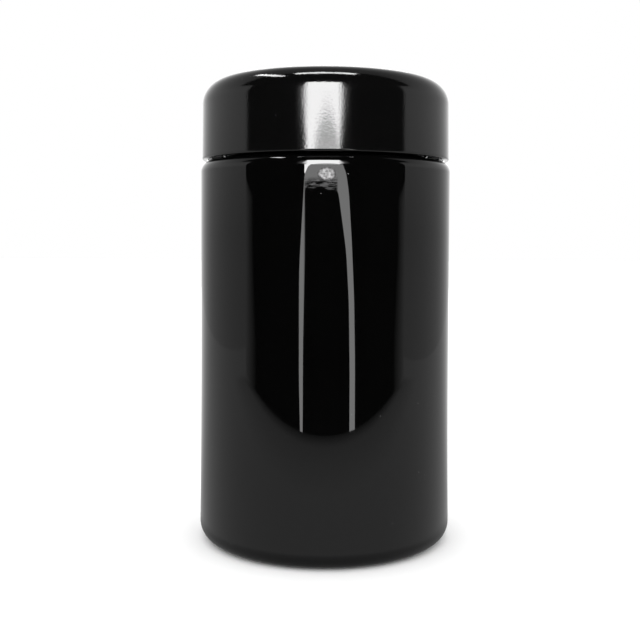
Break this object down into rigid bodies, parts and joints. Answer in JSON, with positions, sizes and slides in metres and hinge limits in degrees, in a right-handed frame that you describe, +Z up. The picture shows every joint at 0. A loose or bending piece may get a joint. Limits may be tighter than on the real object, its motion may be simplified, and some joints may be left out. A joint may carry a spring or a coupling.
{
  "type": "screw-top glass candle jar",
  "caption": "Tall dark glass candle jar with a flush round-edged screw lid, inner threaded cap and foam sealing disc.",
  "frame": {"origin": "centre of the jar's foot, on the surface it stands on", "axes": "+Z up along the jar's own axis; the jar is round, so +X and +Y are free, and both threads are rooted to +X"},
  "size_m": [0.084, 0.084, 0.1526],
  "materials": {
    "black_glass": "polished near-black glass, opaque in normal light",
    "gloss_black_plastic": "moulded gloss, faint blur in reflections",
    "satin_black_plastic": "satin moulded",
    "white_foam": "matte foamed polyethylene with a smooth skin"
  },
  "bodies": {
    "jar": {"glass_jar": "black_glass"},
    "liner": {"liner": "white_foam"},
    "lid": {"lid_shell": "gloss_black_plastic", "inner_cap": "satin_black_plastic"}
  },
  "joints": [
    {"name": "lid_lift", "type": "slide", "parent": "jar", "child": "liner", "axis": [0, 0, 1], "range_m": [0, 0.02]},
    {"name": "lid_turn", "type": "hinge", "parent": "liner", "child": "lid", "pos_m": [0, 0, 0.1436], "axis": [0, 0, 1], "range_deg": [0, 1440]}
  ],
  "couplings": [
    {"joint": "lid_lift", "follows": "lid_turn", "m_per_rad": 0.00079577}
  ]
}
